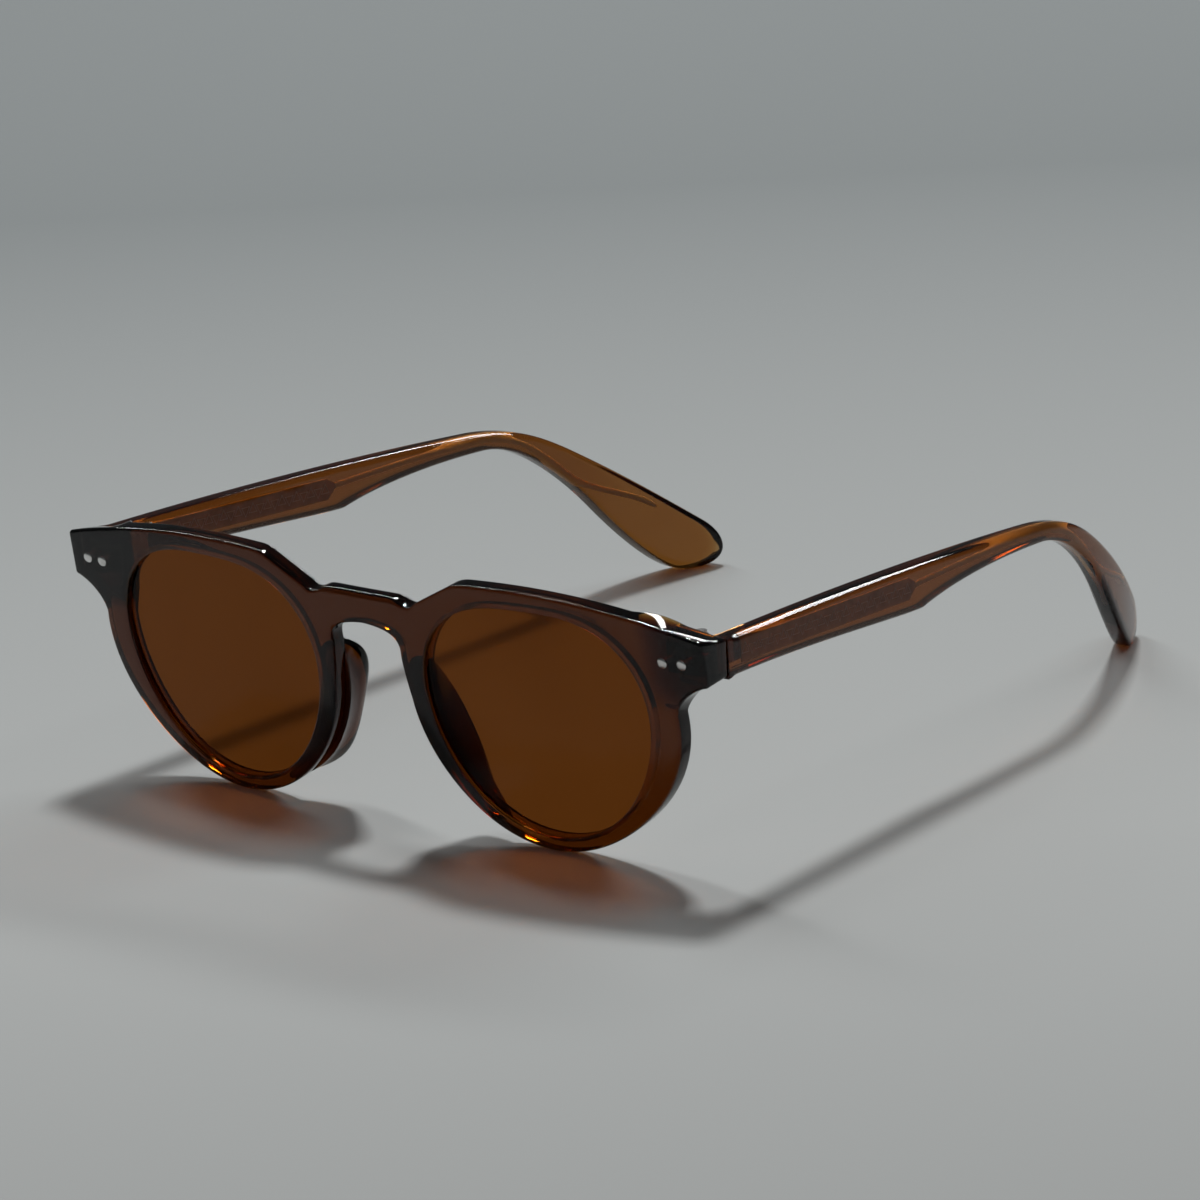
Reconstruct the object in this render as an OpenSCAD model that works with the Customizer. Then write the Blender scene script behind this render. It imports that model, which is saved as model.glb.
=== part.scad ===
// Full-rim panto sunglasses standing open on their rims and temple tips.
// +X is the wearer's left, -Y is the front, +Z is up; the floor is Z = 0.

/* [Lens openings] */
// Width of each lens opening
eye_w = 46.4; // [38.6:0.2:56]
// Height of each lens opening
eye_h = 42.2; // [35.2:0.2:50.8]
// How far the lower half of an opening is narrower than its upper half
panto = 1; // [0:0.1:1.6]
// How much the diagonals of an opening are pulled in
diagonal_pull = 0.27; // [0:0.01:0.5]
// Distance between the two openings across the nose
bridge_w = 25.2; // [21:0.2:30.4]

/* [Front] */
// Thickness of the rims, front to back
rim_t = 3.4; // [2.8:0.1:4.2]
// Rim width below a lens
rim_bottom_w = 2.6; // [2:0.1:3.2]
// Rim width beside the nose
rim_nose_w = 3.9; // [3.2:0.1:4.6]
// Rim width at the top of the nose gap
rim_throat_w = 4.9; // [4.2:0.1:5.6]
// Rim width at the outer side of a lens
rim_outer_w = 6; // [5:0.1:7.2]
// Rim width above a lens
brow_w = 3.4; // [2.8:0.1:4.2]
// Reach of an end piece past the outer rim
end_reach = 7; // [5.8:0.1:8.4]
// Height of an end piece at its outer side
end_h = 8.6; // [7.6:0.1:10]
// Drop of the end piece's top below the top of the lens opening
end_drop = 1.8; // [1:0.1:2.6]
// Drop of the bridge's top below the top of the lens opening
bridge_drop = 1.3; // [0.6:0.1:2.2]
// Height of the bridge bar
bridge_h = 5.8; // [4.6:0.1:7]
// Depth of the notch on each side of the bridge's top
notch_d = 1.3; // [0.6:0.1:1.8]
// Distance of each notch from the middle, past the nose gap's throat
notch_out = 3.2; // [2.6:0.1:4]
// Radius of the front's horizontal curve
curve_r = 544; // [300:2:800]
// Forward lean of the front when it stands
lean = 7.4; // [4:0.1:10]

/* [Lenses] */
// Thickness of each lens
lens_t = 1.8; // [1.4:0.1:2.2]
// Depth of the groove that holds a lens edge
groove_d = 0.8; // [0.6:0.1:1.2]
// Play between a lens and its groove
lens_play = 0.02; // [0.01:0.01:0.04]

/* [Nose pads] */
// Radius of the pad's rounded edge, seen from the side
pad_r = 12.6; // [10.6:0.1:15]
// How far a pad stands out behind the rim
pad_out = 6; // [4.8:0.1:7]
// Thickness of a pad across the nose
pad_t = 4.2; // [3.4:0.1:5]
// Height of a pad's middle above the bottom of the rim
pad_v = 18; // [15:0.1:21]
// Frontal angle of the pads
pad_frontal = 22; // [16:1:28]
// Splay angle of the pads
pad_splay = 10; // [4:1:16]

/* [Temples] */
// Length of a temple from its joint to the start of its bend
temple_l = 94; // [78:0.5:112]
// Length of the drop behind the bend
drop_l = 50.4; // [42:0.2:60]
// Thickness of a temple
temple_t = 4.4; // [3.6:0.1:5.3]
// Height of a temple at its joint
temple_h = 7; // [6.4:0.1:8]
// Height of a temple at its waist, before the bend
waist_h = 3.6; // [3:0.1:4.4]
// Slope of a temple's top edge from joint to bend
temple_slope = 3.6; // [2:0.1:5]
// Toe-in of a temple in plan
toe_in = 3.3; // [0:0.1:5]
// Radius of the inward curve of a temple's drop
drop_curve_r = 94; // [78:1:120]

/* [Temple cores] */
// Thickness of the metal core
core_t = 0.8; // [0.6:0.05:1.2]
// Height of the core's wide plate
plate_h = 4; // [3.2:0.1:4.8]
// Length of the core's wide plate
plate_l = 52; // [43:0.5:62]
// Height of the core's wire
wire_h = 1.1; // [0.8:0.05:1.4]

/* [Hinges] */
// Radius of a hinge knuckle
knuckle_r = 1.3; // [1.15:0.05:1.5]
// Height of one knuckle
knuckle_h = 1.05; // [0.9:0.05:1.2]
// Gap between two knuckles
knuckle_gap = 0.1; // [0.06:0.01:0.15]
// Radius of the hinge screw's shank
screw_r = 0.65; // [0.55:0.01:0.75]
// Play of the screw in the fixed knuckles
screw_play = 0.02; // [0.01:0.01:0.04]
// Play of the screw in the turning knuckles
turn_play = 0.05; // [0.03:0.01:0.08]
// Radius of the screw's head
screw_head_r = 1.1; // [0.95:0.05:1.25]
// Height of the screw's head
screw_head_h = 0.6; // [0.5:0.05:0.8]
// Thickness of the hinge leaves
leaf_t = 1; // [0.8:0.05:1.2]
// Gap between an end piece and the temple that closes on it
butt_gap = 0.2; // [0.15:0.01:0.3]

/* [Rivets] */
// Radius of a rivet's head
rivet_head_r = 1; // [0.8:0.05:1.2]
// Radius of a rivet's shank
rivet_r = 0.6; // [0.5:0.05:0.7]
// Distance between the two rivets of an end piece
rivet_pitch = 3.8; // [3.2:0.1:4.4]
// Distance of the outer rivet from the end piece's side
rivet_edge = 4.5; // [4:0.1:5.2]
// Height of the domed rivet head above the front
rivet_dome = 0.35; // [0.2:0.05:0.5]

/* [Hidden] */

acetate = "#3a1c0c";
lens_brown = "#5a2e12";
steel = "#c4c2bd";
warm_steel = "#b89a74";

round_fn = 48;
shell_fn = 720;
far = 200;

// Opening: centre and polar radius in the front's own plane (u across, v up).
eye_u = bridge_w / 2 + eye_w / 2;
eye_v = rim_bottom_w + eye_h / 2 + panto;
eye_top = rim_bottom_w + eye_h;
eye_mid = (eye_w + eye_h) / 4 + diagonal_pull;
eye_diff = (eye_w - eye_h) / 4;
eye_step = 5;
rim_step = 4;
rim_start = 8;
rim_end = -180;

// Heights and widths of the front's outline.
end_u = eye_u + eye_w / 2 + rim_outer_w + end_reach;
brow_v = eye_top + brow_w;
end_top = eye_top - end_drop;
end_bottom = end_top - end_h;
bridge_top = eye_top - bridge_drop;
bridge_low = bridge_top - bridge_h;
throat_u = bridge_w / 2 - rim_throat_w;
notch_u = throat_u + notch_out;
notch_v = bridge_top - notch_d;
brow_u = notch_u + 10.8;
corner_r = 0.9;
end_fall = 24;
end_slope = 10;

// Joint of an end piece with its temple, in standing coordinates.
butt_y = 6;
end_block_w = 11;
end_block_z = end_bottom - 1.5;
temple_y = butt_y + butt_gap;
temple_top = end_top - 1;
temple_mid = temple_top - temple_h / 2;
body_gap = 0.3;
hinge_x = end_u - temple_t - knuckle_r - 1.1;
hinge_y = butt_y + knuckle_r + body_gap;
knuckles = 5;
stack_h = knuckles * knuckle_h + (knuckles - 1) * knuckle_gap;
stack_z = temple_mid + 0.4 - stack_h / 2;
front_leaf_w = 8;
front_leaf_x = end_u - front_leaf_w - 2.6;
temple_leaf_l = 9;
temple_leaf_h = 4.2;
web_t = 1.7;
web_sink = 0.2;
snug = 0.02;
slot_w = 0.3;
slot_d = 0.25;

// Temple: the bend and the two ends of its drop, in standing coordinates.
bend_y = temple_y + temple_l;
bend_top = temple_top - temple_l * tan(temple_slope);
tip_y = bend_y + drop_l;
plate_y = temple_y + 5;
plate_end = plate_y + plate_l;
wire_mid = temple_mid - 2.9;
tip_blunt = 11;
drop_steps = 12;

function bezier(a, b, c, d, n) = [
    for (i = [1:n])
        let (t = i / n, s = 1 - t)
        s * s * s * a + 3 * s * s * t * b + 3 * s * t * t * c + t * t * t * d
];

function eye_r(a) = eye_mid + eye_diff * cos(2 * a) + panto * sin(3 * a) - diagonal_pull * cos(4 * a);

function rim_w(a) = rim_bottom_w
    + ((cos(a) > 0 ? rim_outer_w : rim_nose_w) - rim_bottom_w) * pow(cos(a), 4);

function eye_point(a, grow) = [eye_u + (eye_r(a) + grow) * cos(a), eye_v + (eye_r(a) + grow) * sin(a)];

function eye_outline(grow) = [for (a = [0:eye_step:360 - eye_step]) eye_point(a, grow)];

function rim_points() = [for (a = [rim_start:-rim_step:rim_end]) eye_point(a, rim_w(a))];

// Outline of the front on one side, from the top of the bridge round to its underside.
function half_outline() = let (
        top = [throat_u - 1.2, bridge_top],
        notch = [notch_u, notch_v],
        slope_a = [notch_u + 1.8, notch_v + 1],
        slope_b = [brow_u - 1.2, brow_v - 0.9],
        brow_a = [brow_u + 2.6, brow_v - 0.05],
        end_a = [end_u - corner_r, end_top],
        end_b = [end_u, end_top - corner_r],
        end_c = [end_u, end_bottom + corner_r],
        end_d = [end_u - corner_r, end_bottom],
        rim = rim_points(),
        rim_a = rim[0],
        rim_b = rim[len(rim) - 1],
        throat = [throat_u, bridge_low - 4.2]
    ) concat(
        [top],
        bezier(top, top + [1.8, 0], notch - [1.4, 0], notch, 5),
        bezier(notch, notch + [0.8, 0], slope_a - [0.6, 0.4], slope_a, 3),
        [slope_b],
        bezier(slope_b, slope_b + [1, 0.5], brow_a - [1.6, 0], brow_a, 4),
        bezier(brow_a, [eye_u + 6, brow_v + 0.7], [end_u - 16, end_top + 4], end_a, 16),
        bezier(end_a, end_a + [0.6, -0.1], end_b + [0, 0.5], end_b, 3),
        bezier(end_c, end_c - [0, 0.5], end_d + [0.5, 0], end_d, 3),
        bezier(end_d, end_d - [1.8, 0.5], rim_a + [0.7, 3.2], rim_a, 6),
        [for (i = [1:len(rim) - 1]) rim[i]],
        bezier(rim_b, rim_b + [-0.4, 2.2], throat - [0.2, 2.2], throat, 4),
        bezier(throat, throat + [0.1, 3], [throat_u * 0.6, bridge_low - 0.3], [0, bridge_low], 8)
    );

// Standing y of a point on the front's face.
function face_w(u) = curve_r - sqrt(curve_r * curve_r - u * u);
function face_y(p) = face_w(p[0]) * cos(lean) - p[1] * sin(lean);

// Side outline of a temple, as points [y, z].
function temple_side() = let (
        joint_top = [temple_y, temple_top],
        bend_a = [bend_y, bend_top],
        bend_b = [bend_y + drop_l * 0.45, bend_top - 8.4],
        tip_a = [tip_y - 3.4, 9.2],
        tip_b = [tip_y - 5, 0],
        tip_c = [tip_y - 7, 0],
        heel = [tip_y - 23.6, bend_top - 20.1],
        waist = [bend_y + 2, bend_top - waist_h],
        step = [temple_y + temple_l * 0.62, temple_top - 11],
        joint_low = [temple_y, temple_top - temple_h]
    ) concat(
        [joint_top],
        bezier(joint_top, joint_top + [34, -0.9], bend_a - [25, -2.6], bend_a, 12),
        bezier(bend_a, bend_a + [10, -1.1], bend_b - [7, -4.6], bend_b, 8),
        bezier(bend_b, bend_b + [10, -6.6], tip_a - [6.5, -5.5], tip_a, 5),
        bezier(tip_a, tip_a + [4.6, -3.9], tip_b + [6, 0.2], tip_b, 8),
        [tip_c],
        bezier(tip_c, tip_c - [4, -0.8], heel + [5.5, -7], heel, 7),
        bezier(heel, heel - [6.5, -8], waist + [9, -0.8], waist, 8),
        bezier(waist, waist - [10, -0.7], step + [12, 2.4], step, 8),
        bezier(step, step - [8, -0.2], joint_low + [24, -0.5], joint_low, 8)
    );

// Side outline of a temple's core: the plate, then the wire to near the tip.
function core_path() = let (
        wire_a = [plate_end, wire_mid],
        wire_b = [bend_y + 2, bend_top - waist_h / 2],
        wire_c = [bend_y + drop_l * 0.43, bend_top - 12.6],
        wire_d = [tip_y - tip_blunt, 13.2]
    ) concat(
        [wire_a],
        bezier(wire_a, wire_a + [14, 0.1], wire_b - [12, -1], wire_b, 8),
        bezier(wire_b, wire_b + [9, -0.9], wire_c - [6, -6], wire_c, 7),
        bezier(wire_c, wire_c + [5, -5.2], wire_d - [4, -4], wire_d, 4)
    );

// Side outline of the core, with the plate tapering to the wire over its last two millimetres.
function core_side() = let (
        path = core_path(),
        half = [0.3, wire_h / 2],
        taper_y = plate_end - 2,
        plate_low = temple_mid - plate_h / 2,
        taper_low = plate_low - (taper_y - plate_y) * tan(temple_slope)
    ) concat(
        [[plate_y, plate_low + plate_h], [taper_y, taper_low + plate_h]],
        [for (p = path) p + half],
        [for (i = [len(path) - 1:-1:0]) path[i] - half],
        [[taper_y, taper_low], [plate_y, plate_low]]
    );

// Plan position of a temple's outer face at depth y.
function plan_x(y) = end_u - (y - temple_y) * tan(toe_in)
    - (y > bend_y ? pow(y - bend_y, 2) / (2 * drop_curve_r) : 0);

// Plan outline of a layer of the temple between two depths under its outer face.
function plan_band(near, deep) = let (
        step = (drop_l + 2) / drop_steps,
        ys = concat([temple_y], [for (i = [0:drop_steps]) bend_y + i * step])
    ) concat(
        [for (y = ys) [plan_x(y) - near, y]],
        [for (i = [len(ys) - 1:-1:0]) [plan_x(ys[i]) - deep, ys[i]]]
    );

// Depth of the whole object, and the middle that the origin stands under.
front_y = min([for (p = half_outline()) face_y(p)]);
back_y = max([for (p = temple_side()) p[0]]);
middle_y = (front_y + back_y) / 2;

module standing() { translate([0, -middle_y, 0]) children(); }
module on_side(left) { if (left) children(); else mirror([1, 0, 0]) children(); }
// The front's own frame: x across, y back, z up the front, leaning forward.
module front_frame() { rotate([lean, 0, 0]) children(); }

// A slab of the front that follows its curve between two depths.
module curved_slab(near, deep) {
    difference() {
        translate([0, curve_r, -10]) cylinder(r = curve_r - near, h = 80, $fn = shell_fn);
        translate([0, curve_r, -11]) cylinder(r = curve_r - deep, h = 82, $fn = shell_fn);
    }
}
// A flat outline in the front's frame, extruded from y = 0 backwards to y = depth.
module front_extrude(from, depth) {
    translate([0, from + depth, 0]) rotate([90, 0, 0]) linear_extrude(height = depth) children();
}
module eye_2d(grow) { polygon(eye_outline(grow)); }
module front_2d() {
    half = half_outline();
    mirrored = [for (i = [len(half) - 2:-1:1]) [-half[i][0], half[i][1]]];
    polygon(concat(half, mirrored));
}

module rivet_axis(inner) {
    u = end_u - rivet_edge - (inner ? rivet_pitch : 0);
    v = end_top - end_h / 2 - 0.1;
    front_frame() translate([u, face_w(u), v]) rotate([0, 0, asin(u / curve_r)]) rotate([-90, 0, 0]) children();
}

// What is cut away behind the rims; the thick end pieces stay, square at the back for the temples.
module back_cut() {
    difference() {
        front_frame() translate([0, curve_r, -10]) cylinder(r = curve_r - rim_t, h = 80, $fn = shell_fn);
        for (left = [true, false]) on_side(left)
            translate([end_u - end_block_w, -5, end_block_z]) cube([far, far, far]);
    }
    translate([-far, butt_y, -5]) cube([2 * far, far, far]);
}
// Cuts the top of the end piece down towards the top of the temple, and bevels its back edge.
module end_chamfer() {
    translate([end_u, -1, end_top + 0.2]) rotate([-end_slope, end_fall, 0])
        translate([-8, 0, 0]) cube([20, 20, 10]);
    translate([end_u - end_block_w - 1, butt_y, temple_top + 0.6]) rotate([-45, 0, 0])
        translate([0, -20, 0]) cube([20, 40, 10]);
}

module front_leaf(grow) {
    translate([front_leaf_x - grow, butt_y - leaf_t - grow, stack_z - grow])
        cube([front_leaf_w + 2 * grow, leaf_t + grow, stack_h + 2 * grow]);
}
// The two bores that the rivets of an end piece pass through.
module rivet_bores() {
    for (inner = [true, false]) rivet_axis(inner)
        translate([0, 0, -1]) cylinder(r = rivet_r + snug, h = 14, $fn = round_fn);
}

module front_solid() {
    difference() {
        front_frame() intersection() {
            front_extrude(-2, 20) front_2d();
            translate([0, curve_r, -10]) cylinder(r = curve_r, h = 80, $fn = shell_fn);
        }
        back_cut();
        for (left = [true, false]) on_side(left) end_chamfer();
        for (left = [true, false]) on_side(left) front_frame() {
            front_extrude(-3, 10) eye_2d(0);
            intersection() {
                front_extrude(-3, 14) eye_2d(groove_d);
                curved_slab(rim_t / 2 - lens_t / 2 - lens_play, rim_t / 2 + lens_t / 2 + lens_play);
            }
        }
    }
}

module frame_front() {
    color(acetate) difference() {
        front_solid();
        for (left = [true, false]) on_side(left) {
            front_leaf(snug);
            rivet_bores();
        }
    }
}

module nose_pad() {
    color(acetate) intersection() {
        front_frame() translate([0, curve_r, 0]) cylinder(r = curve_r - rim_t - 0.01, h = 60, $fn = shell_fn);
        front_frame() translate([throat_u + 3.6, rim_t + pad_out - pad_r, pad_v])
            rotate([0, -pad_frontal, -pad_splay]) rotate([0, 90, 0])
                cylinder(r = pad_r, h = pad_t, center = true, $fn = 96);
    }
}

module lens() {
    color(lens_brown, 0.7) front_frame() intersection() {
        front_extrude(-3, 14) eye_2d(groove_d - lens_play);
        curved_slab(rim_t / 2 - lens_t / 2, rim_t / 2 + lens_t / 2);
    }
}

module rivet(inner) {
    color(steel) {
        intersection() {
            rivet_axis(inner) translate([0, 0, -0.1]) cylinder(r = rivet_r, h = 14, $fn = round_fn);
            translate([0, -10, 0]) cube([far, butt_y + 10, far]);
        }
        rivet_axis(inner) rivet_head();
    }
}
module rivet_head() {
    ball_r = (rivet_head_r * rivet_head_r + rivet_dome * rivet_dome) / (2 * rivet_dome);
    intersection() {
        translate([0, 0, ball_r - rivet_dome]) sphere(r = ball_r, $fn = 96);
        translate([0, 0, -rivet_dome]) cylinder(r = rivet_head_r, h = rivet_dome - 0.01, $fn = round_fn);
    }
}

// One knuckle of the stack, counted from the bottom.
module knuckle(i, bore_r) {
    translate([hinge_x, hinge_y, stack_z + i * (knuckle_h + knuckle_gap)]) difference() {
        union() {
            cylinder(r = knuckle_r, h = knuckle_h, $fn = round_fn);
            children();
        }
        translate([0, 0, -1]) cylinder(r = bore_r, h = knuckle_h + 2, $fn = round_fn);
    }
}

module front_hinge() {
    color(steel) difference() {
        union() {
            front_leaf(0);
            for (i = [0:2:knuckles - 1]) knuckle(i, screw_r + screw_play)
                translate([-web_t / 2, butt_y - hinge_y - web_sink, 0])
                    cube([web_t, hinge_y - butt_y + web_sink, knuckle_h]);
        }
        rivet_bores();
    }
}

module temple_hinge() {
    color(steel) {
        temple_leaf(0);
        for (i = [1:2:knuckles - 2]) knuckle(i, screw_r + turn_play)
            translate([0, -web_t / 2, 0]) cube([temple_leaf_x() - hinge_x + web_sink, web_t, knuckle_h]);
    }
}
// Inner face of a temple at its leaf, taken where the leaf ends, so that the leaf stays sunk.
function temple_leaf_x() = plan_x(temple_y + 0.8 + temple_leaf_l) - temple_t;
module temple_leaf(grow) {
    translate([temple_leaf_x(), hinge_y - web_t / 2 - grow, stack_z + (stack_h - temple_leaf_h) / 2 - grow])
        cube([leaf_t + grow, temple_leaf_l + 2 * grow, temple_leaf_h + 2 * grow]);
}

module hinge_screw() {
    head_z = stack_z + stack_h;
    color(steel) difference() {
        translate([hinge_x, hinge_y, 0]) union() {
            translate([0, 0, stack_z]) cylinder(r = screw_r, h = stack_h + 0.1, $fn = round_fn);
            translate([0, 0, head_z + snug]) cylinder(r = screw_head_r, h = screw_head_h, $fn = round_fn);
        }
        translate([hinge_x - 2, hinge_y - slot_w / 2, head_z + screw_head_h - slot_d]) cube([4, slot_w, 1]);
    }
}

module side_extrude(points) {
    rotate([90, 0, 90]) linear_extrude(height = far / 2) polygon(points);
}
module temple_core() {
    color(warm_steel) intersection() {
        side_extrude(core_side());
        linear_extrude(height = far / 2)
            polygon(plan_band(temple_t / 2 - core_t / 2, temple_t / 2 + core_t / 2));
    }
}
module temple() {
    color(acetate) difference() {
        intersection() {
            side_extrude(temple_side());
            linear_extrude(height = far / 2) polygon(plan_band(0, temple_t));
        }
        temple_core();
        temple_leaf(snug);
    }
}

standing() frame_front();
standing() on_side(true) nose_pad();  // nose_pad_left
standing() on_side(false) nose_pad();  // nose_pad_right
standing() on_side(true) lens();  // lens_left
standing() on_side(false) lens();  // lens_right
standing() on_side(true) rivet(false);  // rivet_outer_left
standing() on_side(false) rivet(false);  // rivet_outer_right
standing() on_side(true) rivet(true);  // rivet_inner_left
standing() on_side(false) rivet(true);  // rivet_inner_right
standing() on_side(true) front_hinge();  // front_hinge_left
standing() on_side(false) front_hinge();  // front_hinge_right
standing() on_side(true) hinge_screw();  // hinge_screw_left
standing() on_side(false) hinge_screw();  // hinge_screw_right
standing() on_side(true) temple_hinge();  // temple_hinge_left
standing() on_side(false) temple_hinge();  // temple_hinge_right
standing() on_side(true) temple_core();  // temple_core_left
standing() on_side(false) temple_core();  // temple_core_right
standing() on_side(true) temple();  // temple_left
standing() on_side(false) temple();  // temple_right
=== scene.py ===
"""Panto sunglasses in tea-brown acetate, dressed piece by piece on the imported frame.

Sizes are millimetres in the maker's own layout: x across, y back from the front's face,
z up from the table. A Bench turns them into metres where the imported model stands.
"""

import logging
import math
from collections import Counter
from dataclasses import dataclass, field
from enum import Enum
from typing import Callable, Iterable, Optional, Sequence

import bmesh
import bpy
import numpy as np
from mathutils import Matrix, Vector
from mathutils.geometry import delaunay_2d_cdt


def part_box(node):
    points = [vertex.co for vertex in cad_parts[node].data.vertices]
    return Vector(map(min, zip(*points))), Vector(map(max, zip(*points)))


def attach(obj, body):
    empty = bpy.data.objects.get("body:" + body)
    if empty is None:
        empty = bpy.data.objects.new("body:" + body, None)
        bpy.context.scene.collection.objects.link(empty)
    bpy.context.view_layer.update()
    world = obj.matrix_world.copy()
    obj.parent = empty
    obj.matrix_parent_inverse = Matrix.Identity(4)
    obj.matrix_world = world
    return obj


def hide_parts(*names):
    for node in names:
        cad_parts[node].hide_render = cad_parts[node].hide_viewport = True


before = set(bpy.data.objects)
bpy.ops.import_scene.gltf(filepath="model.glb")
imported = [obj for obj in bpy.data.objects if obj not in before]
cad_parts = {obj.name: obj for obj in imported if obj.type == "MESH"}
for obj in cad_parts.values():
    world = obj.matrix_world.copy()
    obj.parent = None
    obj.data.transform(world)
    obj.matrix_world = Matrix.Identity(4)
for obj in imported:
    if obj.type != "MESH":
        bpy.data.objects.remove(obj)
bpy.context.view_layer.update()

LOG = logging.getLogger("sunglasses")
MM = 0.001
SHARP = math.radians(40)
WELD = 1e-7
LEAST_MITRE = 0.6
Array = np.ndarray
Place = Callable[[Array, Array], Array]
Depth = Callable[[Array], Array]


# ---------------------------------------------------------------- shader maths


class Sock:
    """A value socket of a shader tree that works in a Python expression."""

    def __init__(self, recipe: "Recipe", socket: bpy.types.NodeSocket) -> None:
        """Keeps the tree's recipe and the socket that carries the value."""
        self.recipe = recipe
        self.socket = socket

    def _math(self, operation: str, first: object, second: object) -> "Sock":
        """Adds one Math node.

        Args:
            operation: The node's operation.
            first: Its first value, a number or a Sock.
            second: Its second value, a number or a Sock.

        Returns:
            The node's result.
        """
        node = self.recipe.add("ShaderNodeMath", {0: first, 1: second}, operation=operation)
        return Sock(self.recipe, node.outputs[0])

    def __add__(self, other: object) -> "Sock":
        """Returns the sum."""
        return self._math("ADD", self, other)

    def __radd__(self, other: object) -> "Sock":
        """Returns the sum with a number on the left."""
        return self._math("ADD", other, self)

    def __sub__(self, other: object) -> "Sock":
        """Returns the difference."""
        return self._math("SUBTRACT", self, other)

    def __rsub__(self, other: object) -> "Sock":
        """Returns the difference with a number on the left."""
        return self._math("SUBTRACT", other, self)

    def __mul__(self, other: object) -> "Sock":
        """Returns the product."""
        return self._math("MULTIPLY", self, other)

    def __rmul__(self, other: object) -> "Sock":
        """Returns the product with a number on the left."""
        return self._math("MULTIPLY", other, self)


class NodeTree:
    """A node tree built in the script, and the one method that adds a node to it."""

    def __init__(self, tree: bpy.types.NodeTree) -> None:
        """Keeps the tree."""
        self.tree = tree

    def add(
        self, kind: str, values: Optional[dict] = None, **settings: object
    ) -> bpy.types.Node:
        """Adds a node.

        Args:
            kind: The node's type.
            values: Numbers, colours or links by socket name or index; a node stands for its
                first output, and a list makes several links.
            settings: Its settings by name; stops is a ramp's (place, colour) pairs.

        Returns:
            The node.
        """
        node = self.tree.nodes.new(kind)
        for name, setting in settings.items():
            if name == "stops":
                fill_ramp(node.color_ramp, setting)
            else:
                setattr(node, name, setting)
        for key, value in (values or {}).items():
            for source in value if isinstance(value, list) else [value]:
                if isinstance(source, Sock):
                    source = source.socket
                elif isinstance(source, bpy.types.Node):
                    source = source.outputs[0]
                if isinstance(source, bpy.types.NodeSocket):
                    self.tree.links.new(source, node.inputs[key])
                else:
                    node.inputs[key].default_value = source
        return node


class Recipe(NodeTree):
    """One material's node tree."""

    def __init__(self, name: str) -> None:
        """Starts an empty material.

        Args:
            name: The material's name.
        """
        self.material = bpy.data.materials.new(name)
        self.material.use_nodes = True
        super().__init__(self.material.node_tree)
        self.tree.nodes.clear()

    def noise(self, scale: float, detail: float = 2.0, stretch: tuple = (1, 1, 1)) -> Sock:
        """Adds a noise that is fixed to the piece.

        Args:
            scale: Grains in each metre.
            detail: Octaves of finer noise.
            stretch: Scale along each axis.

        Returns:
            The noise's value, from 0 to 1.
        """
        place = self.add("ShaderNodeTexCoord")
        values = {"Vector": place.outputs["Object"], "Scale": stretch}
        turned = self.add("ShaderNodeMapping", values)
        values = {"Vector": turned, "Scale": scale, "Detail": detail}
        return Sock(self, self.add("ShaderNodeTexNoise", values).outputs[0])

    def bump(self, height: Sock, strength: float, distance: float) -> bpy.types.NodeSocket:
        """Adds a bump.

        Args:
            height: The relief, from 0 to 1.
            strength: How much of it shows.
            distance: Its height in metres.

        Returns:
            The normal for a shader.
        """
        values = {"Strength": strength, "Distance": distance, "Height": height}
        return self.add("ShaderNodeBump", values).outputs[0]

    def tone(self, factor: Sock, stops: Sequence[tuple]) -> bpy.types.NodeSocket:
        """Turns a value into a colour through a ramp.

        Args:
            factor: The value, from 0 to 1.
            stops: The ramp's (place, colour) pairs.

        Returns:
            The colour.
        """
        return self.add("ShaderNodeValToRGB", {0: factor}, stops=stops).outputs[0]

    def let_light_through(self, surface: bpy.types.Node, tint: tuple) -> bpy.types.Node:
        """Lets lamps shine through a clear piece, coloured by it.

        Args:
            surface: The clear piece's shader.
            tint: What one of its two faces lets pass.

        Returns:
            The shader that does both.
        """
        path = self.add("ShaderNodeLightPath")
        clear = self.add("ShaderNodeBsdfTransparent", {"Color": (*tint, 1)})
        values = {0: path.outputs["Is Shadow Ray"], 1: surface, 2: clear}
        return self.add("ShaderNodeMixShader", values)

    def close(self, surface: bpy.types.Node, volume: Optional[bpy.types.Node] = None) -> None:
        """Links the finished shaders to the material's output.

        Args:
            surface: The surface shader.
            volume: The shader inside the piece, if any.
        """
        links = {"Surface": surface}
        if volume:
            links["Volume"] = volume
        self.add("ShaderNodeOutputMaterial", links)


def fill_ramp(ramp: bpy.types.ColorRamp, stops: Sequence[tuple]) -> None:
    """Sets a colour ramp's stops.

    Args:
        ramp: The ramp of a new node.
        stops: (place, colour) pairs in rising order.
    """
    while len(ramp.elements) < len(stops):
        ramp.elements.new(0.5)
    for element, (place, colour) in zip(ramp.elements, stops):
        element.position = place
        element.color = (*colour, 1)


# --------------------------------------------------------------------- finishes


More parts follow.
